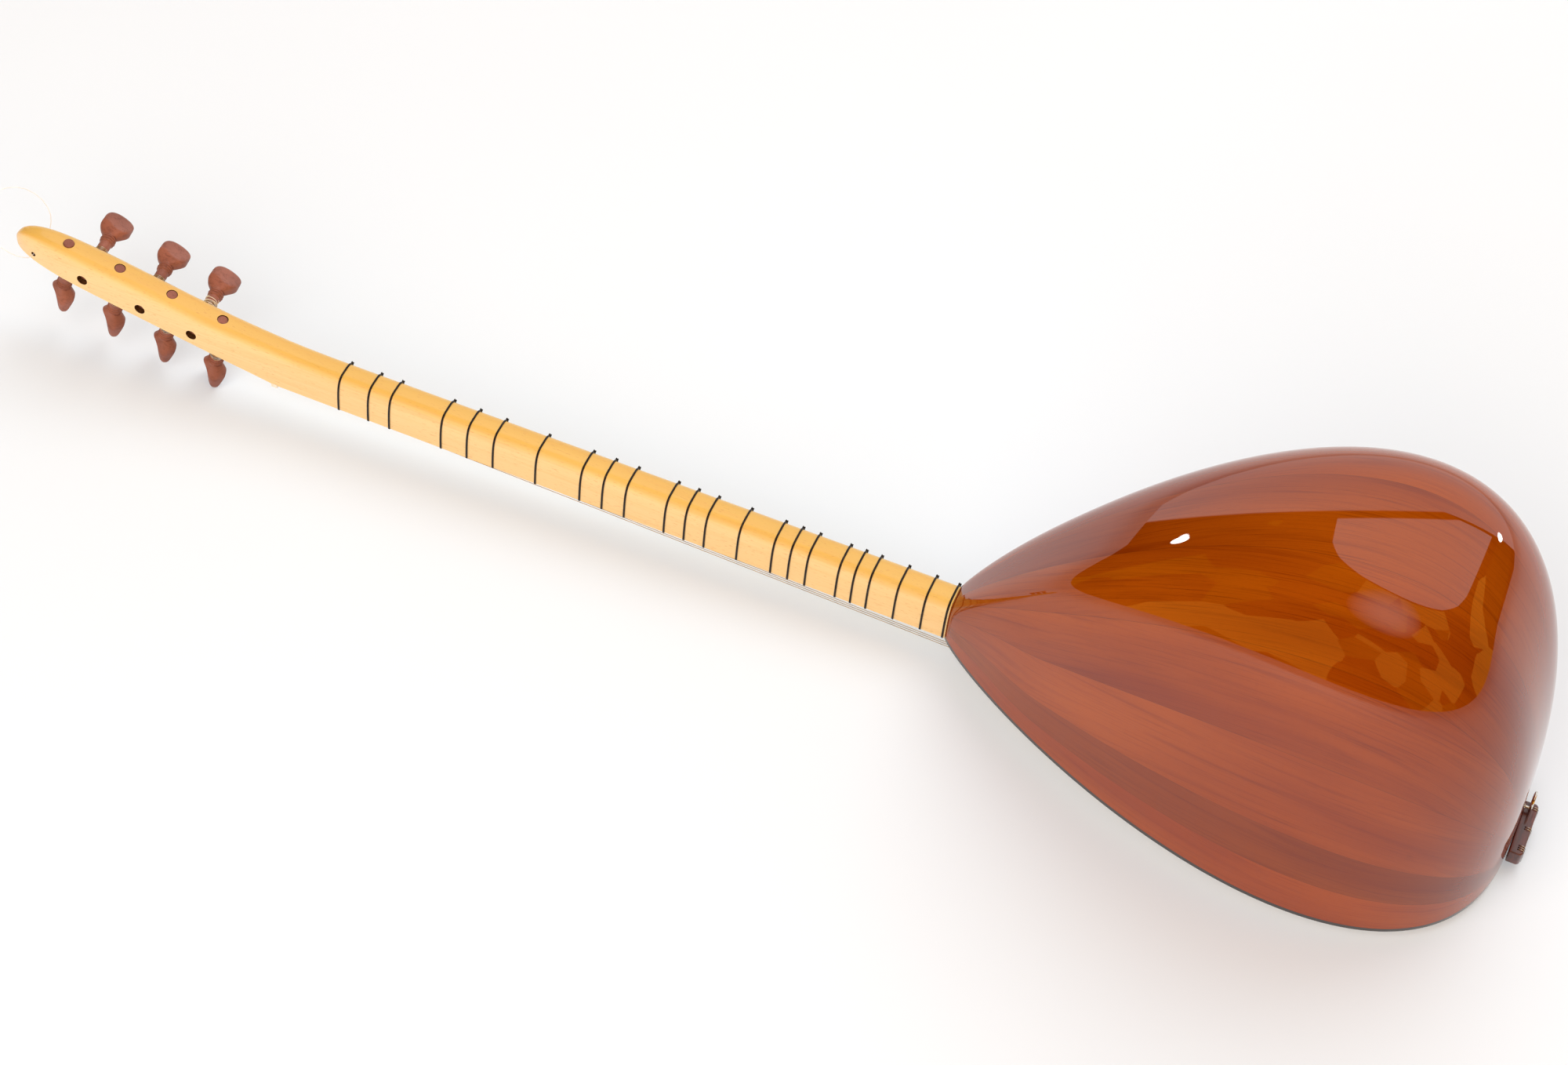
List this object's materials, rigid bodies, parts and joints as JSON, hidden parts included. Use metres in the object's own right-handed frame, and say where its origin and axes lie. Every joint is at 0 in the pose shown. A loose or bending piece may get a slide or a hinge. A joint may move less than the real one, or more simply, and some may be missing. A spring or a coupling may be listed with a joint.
{
  "type": "long-neck baglama saz",
  "caption": "Long-necked lute with a deep staved bowl, a D-section neck with movable tied frets, turned pegs and strings in courses, lying face down.",
  "frame": {"origin": "on the flat rim of the face, which the edge binding forms, at the tail end of the bowl on the centre line", "axes": "+X from the nut to the tail, +Y to the side that carries the three side pegs, +Z out of the back of the bowl, so the instrument lies on its face"},
  "size_m": [1.248, 0.2668, 0.3083],
  "materials": {
    "beech": "golden lacquered beech, satin gloss",
    "bowl_wood": "red-brown stained wood under thick polished lacquer",
    "spruce": "pale spruce, satin lacquer",
    "black_binding": "black edge strip under lacquer",
    "bone": "bone, polished",
    "bridge_wood": "hard pale wood, dry finish",
    "dark_rosewood": "dark rosewood, polished",
    "nickel": "bright nickel plating",
    "clear_nylon": "clear nylon thread",
    "black_nylon": "black nylon line",
    "string_steel": "plain steel wire",
    "rosewood": "oiled rosewood, matte"
  },
  "bodies": {
    "root": {"neck": "beech", "neck_block": "beech", "tail_block": "bowl_wood", "stave_01": "bowl_wood", "stave_02": "bowl_wood", "stave_03": "bowl_wood", "stave_04": "bowl_wood", "stave_05": "bowl_wood", "stave_06": "bowl_wood", "stave_07": "bowl_wood", "stave_08": "bowl_wood", "stave_09": "bowl_wood", "stave_10": "bowl_wood", "stave_11": "bowl_wood", "soundboard": "spruce", "soundboard_bar": "spruce", "binding": "black_binding", "nut": "bone", "bridge": "bridge_wood", "tailpiece": "dark_rosewood", "strap_eye": "nickel", "hang_loop": "clear_nylon", "string_1": "string_steel", "string_2": "string_steel", "string_3": "string_steel", "string_4": "string_steel", "string_5": "string_steel", "string_6": "string_steel", "string_7": "string_steel"},
    "front_peg_1": {"front_peg_1": "rosewood"},
    "front_peg_2": {"front_peg_2": "rosewood"},
    "front_peg_3": {"front_peg_3": "rosewood"},
    "front_peg_4": {"front_peg_4": "rosewood"},
    "side_peg_1": {"side_peg_1": "rosewood"},
    "side_peg_2": {"side_peg_2": "rosewood"},
    "side_peg_3": {"side_peg_3": "rosewood"},
    "fret_01": {"fret_01": "black_nylon"},
    "fret_02": {"fret_02": "black_nylon"},
    "fret_03": {"fret_03": "black_nylon"},
    "fret_04": {"fret_04": "black_nylon"},
    "fret_05": {"fret_05": "black_nylon"},
    "fret_06": {"fret_06": "black_nylon"},
    "fret_07": {"fret_07": "black_nylon"},
    "fret_08": {"fret_08": "black_nylon"},
    "fret_09": {"fret_09": "black_nylon"},
    "fret_10": {"fret_10": "black_nylon"},
    "fret_11": {"fret_11": "black_nylon"},
    "fret_12": {"fret_12": "black_nylon"},
    "fret_13": {"fret_13": "black_nylon"},
    "fret_14": {"fret_14": "black_nylon"},
    "fret_15": {"fret_15": "black_nylon"},
    "fret_16": {"fret_16": "black_nylon"},
    "fret_17": {"fret_17": "black_nylon"},
    "fret_18": {"fret_18": "black_nylon"},
    "fret_19": {"fret_19": "black_nylon"},
    "fret_20": {"fret_20": "black_nylon"},
    "fret_21": {"fret_21": "black_nylon"},
    "fret_22": {"fret_22": "black_nylon"},
    "fret_23": {"fret_23": "black_nylon"}
  },
  "joints": [
    {"name": "front_peg_1_turn", "type": "hinge", "parent": "root", "child": "front_peg_1", "pos_m": [-1.03094, 0, 0.03746], "axis": [-0.1771, 0, -0.9842], "continuous": true},
    {"name": "front_peg_2_turn", "type": "hinge", "parent": "root", "child": "front_peg_2", "pos_m": [-1.07385, 0, 0.04518], "axis": [-0.1771, 0, -0.9842], "continuous": true},
    {"name": "front_peg_3_turn", "type": "hinge", "parent": "root", "child": "front_peg_3", "pos_m": [-1.11794, 0, 0.05311], "axis": [-0.1771, 0, -0.9842], "continuous": true},
    {"name": "front_peg_4_turn", "type": "hinge", "parent": "root", "child": "front_peg_4", "pos_m": [-1.16135, 0, 0.06092], "axis": [-0.1771, 0, -0.9842], "continuous": true},
    {"name": "side_peg_1_turn", "type": "hinge", "parent": "root", "child": "side_peg_1", "pos_m": [-1.05248, -0.0085, 0.02273], "axis": [-0.0601, 0.9981, 0.0108], "continuous": true},
    {"name": "side_peg_2_turn", "type": "hinge", "parent": "root", "child": "side_peg_2", "pos_m": [-1.09608, -0.0085, 0.03058], "axis": [-0.0601, 0.9981, 0.0108], "continuous": true},
    {"name": "side_peg_3_turn", "type": "hinge", "parent": "root", "child": "side_peg_3", "pos_m": [-1.1451, -0.0085, 0.03939], "axis": [-0.0601, 0.9981, 0.0108], "continuous": true},
    {"name": "fret_01_slide", "type": "slide", "parent": "root", "child": "fret_01", "axis": [1, 0, 0], "range_m": [-0.003, 0.003]},
    {"name": "fret_02_slide", "type": "slide", "parent": "root", "child": "fret_02", "axis": [1, 0, 0], "range_m": [-0.003, 0.003]},
    {"name": "fret_03_slide", "type": "slide", "parent": "root", "child": "fret_03", "axis": [1, 0, 0], "range_m": [-0.003, 0.003]},
    {"name": "fret_04_slide", "type": "slide", "parent": "root", "child": "fret_04", "axis": [1, 0, 0], "range_m": [-0.003, 0.003]},
    {"name": "fret_05_slide", "type": "slide", "parent": "root", "child": "fret_05", "axis": [1, 0, 0], "range_m": [-0.003, 0.003]},
    {"name": "fret_06_slide", "type": "slide", "parent": "root", "child": "fret_06", "axis": [1, 0, 0], "range_m": [-0.003, 0.003]},
    {"name": "fret_07_slide", "type": "slide", "parent": "root", "child": "fret_07", "axis": [1, 0, 0], "range_m": [-0.003, 0.003]},
    {"name": "fret_08_slide", "type": "slide", "parent": "root", "child": "fret_08", "axis": [1, 0, 0], "range_m": [-0.003, 0.003]},
    {"name": "fret_09_slide", "type": "slide", "parent": "root", "child": "fret_09", "axis": [1, 0, 0], "range_m": [-0.003, 0.003]},
    {"name": "fret_10_slide", "type": "slide", "parent": "root", "child": "fret_10", "axis": [1, 0, 0], "range_m": [-0.003, 0.003]},
    {"name": "fret_11_slide", "type": "slide", "parent": "root", "child": "fret_11", "axis": [1, 0, 0], "range_m": [-0.003, 0.003]},
    {"name": "fret_12_slide", "type": "slide", "parent": "root", "child": "fret_12", "axis": [1, 0, 0], "range_m": [-0.003, 0.003]},
    {"name": "fret_13_slide", "type": "slide", "parent": "root", "child": "fret_13", "axis": [1, 0, 0], "range_m": [-0.003, 0.003]},
    {"name": "fret_14_slide", "type": "slide", "parent": "root", "child": "fret_14", "axis": [1, 0, 0], "range_m": [-0.003, 0.003]},
    {"name": "fret_15_slide", "type": "slide", "parent": "root", "child": "fret_15", "axis": [1, 0, 0], "range_m": [-0.003, 0.003]},
    {"name": "fret_16_slide", "type": "slide", "parent": "root", "child": "fret_16", "axis": [1, 0, 0], "range_m": [-0.003, 0.003]},
    {"name": "fret_17_slide", "type": "slide", "parent": "root", "child": "fret_17", "axis": [1, 0, 0], "range_m": [-0.003, 0.003]},
    {"name": "fret_18_slide", "type": "slide", "parent": "root", "child": "fret_18", "axis": [1, 0, 0], "range_m": [-0.003, 0.003]},
    {"name": "fret_19_slide", "type": "slide", "parent": "root", "child": "fret_19", "axis": [1, 0, 0], "range_m": [-0.003, 0.003]},
    {"name": "fret_20_slide", "type": "slide", "parent": "root", "child": "fret_20", "axis": [1, 0, 0], "range_m": [-0.003, 0.003]},
    {"name": "fret_21_slide", "type": "slide", "parent": "root", "child": "fret_21", "axis": [1, 0, 0], "range_m": [-0.003, 0.003]},
    {"name": "fret_22_slide", "type": "slide", "parent": "root", "child": "fret_22", "axis": [1, 0, 0], "range_m": [-0.003, 0.003]},
    {"name": "fret_23_slide", "type": "slide", "parent": "root", "child": "fret_23", "axis": [1, 0, 0], "range_m": [-0.003, 0.0007]}
  ]
}
